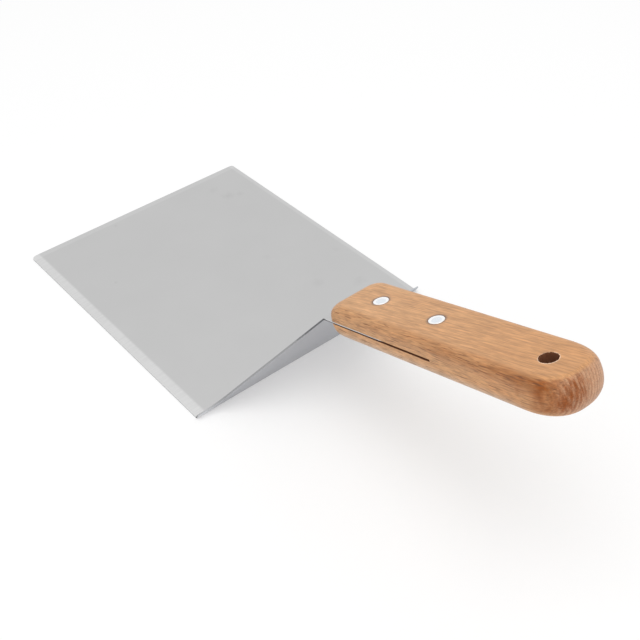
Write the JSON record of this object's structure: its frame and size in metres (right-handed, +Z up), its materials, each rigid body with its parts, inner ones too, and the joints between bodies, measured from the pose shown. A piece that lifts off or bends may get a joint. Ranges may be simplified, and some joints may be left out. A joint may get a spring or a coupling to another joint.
{
  "type": "pizza spatula",
  "caption": "Folded steel spatula: wide flat blade with bevelled edges, leaning rear wall and tang, riveted in a slotted wooden handle with a hanging hole.",
  "frame": {"origin": "middle of the blade's flat underside, which lies on the table", "axes": "+X from the blade's front edge to the handle's tail, +Y across the blade, +Z up"},
  "size_m": [0.3004, 0.127, 0.0885],
  "materials": {
    "steel": "satin stainless sheet with bright ground bevels",
    "beech": "sanded and oiled beech, end grain darker at the tail",
    "aluminium": "bright dished rivet heads, pressed flush"
  },
  "bodies": {
    "root": {"blade": "steel", "handle": "beech", "front_rivet_sleeve": "aluminium", "front_rivet_post": "aluminium", "rear_rivet_sleeve": "aluminium", "rear_rivet_post": "aluminium"}
  },
  "joints": []
}
